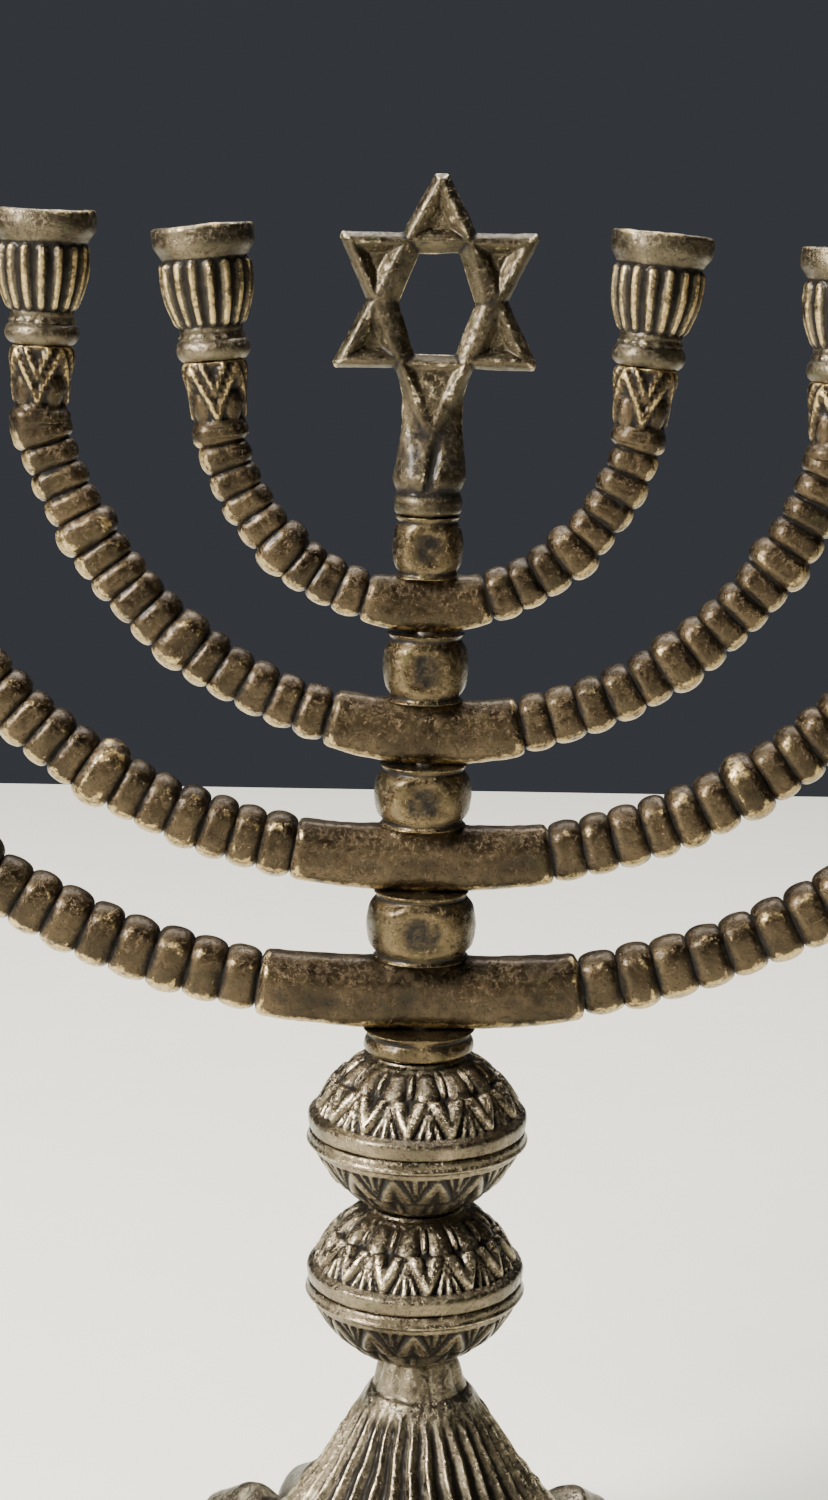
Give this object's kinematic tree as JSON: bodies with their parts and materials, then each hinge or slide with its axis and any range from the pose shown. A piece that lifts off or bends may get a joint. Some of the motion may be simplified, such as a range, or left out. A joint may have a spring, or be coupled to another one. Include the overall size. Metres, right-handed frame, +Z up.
{
  "type": "menorah",
  "caption": "Hanukkah menorah of aged cast brass: nested ribbed arches with fluted candle cups, a star finial, lotus knobs and a fluted bell base.",
  "frame": {"origin": "on the table under the tie rod, at the centre of the base's rim", "axes": "+Z up along the tie rod; +X along the row of cups, to the right of a viewer in front; +Y to the back"},
  "size_m": [0.2582, 0.097, 0.2462],
  "materials": {
    "arch_brass": "cast brass, aged brown, worn bright on the ribs",
    "stem_brass": "cast brass, aged brown, worn bright on the faces",
    "cup_brass": "cast brass, dull, with dark grooves",
    "star_brass": "cast brass, grey-green patina, bright edges",
    "knob_brass": "cast brass, dark in the pattern, polished on its ridges",
    "base_brass": "cast brass, dull, with bright flute crests",
    "fastener_steel": "plain steel"
  },
  "bodies": {
    "root": {"arch_1": "arch_brass", "arch_2": "arch_brass", "arch_3": "arch_brass", "arch_4": "arch_brass", "base_bell": "base_brass", "base_nut": "fastener_steel", "base_washer": "fastener_steel", "candle_cup_1": "cup_brass", "candle_cup_2": "cup_brass", "candle_cup_3": "cup_brass", "candle_cup_4": "cup_brass", "candle_cup_5": "cup_brass", "candle_cup_6": "cup_brass", "candle_cup_7": "cup_brass", "candle_cup_8": "cup_brass", "finial_star": "star_brass", "knob_1_lower": "knob_brass", "knob_1_upper": "knob_brass", "knob_2_lower": "knob_brass", "knob_2_upper": "knob_brass", "lower_collar": "stem_brass", "spacer_bead_1": "stem_brass", "spacer_bead_2": "stem_brass", "spacer_bead_3": "stem_brass", "spacer_bead_4": "stem_brass", "tie_rod": "fastener_steel"}
  },
  "joints": []
}
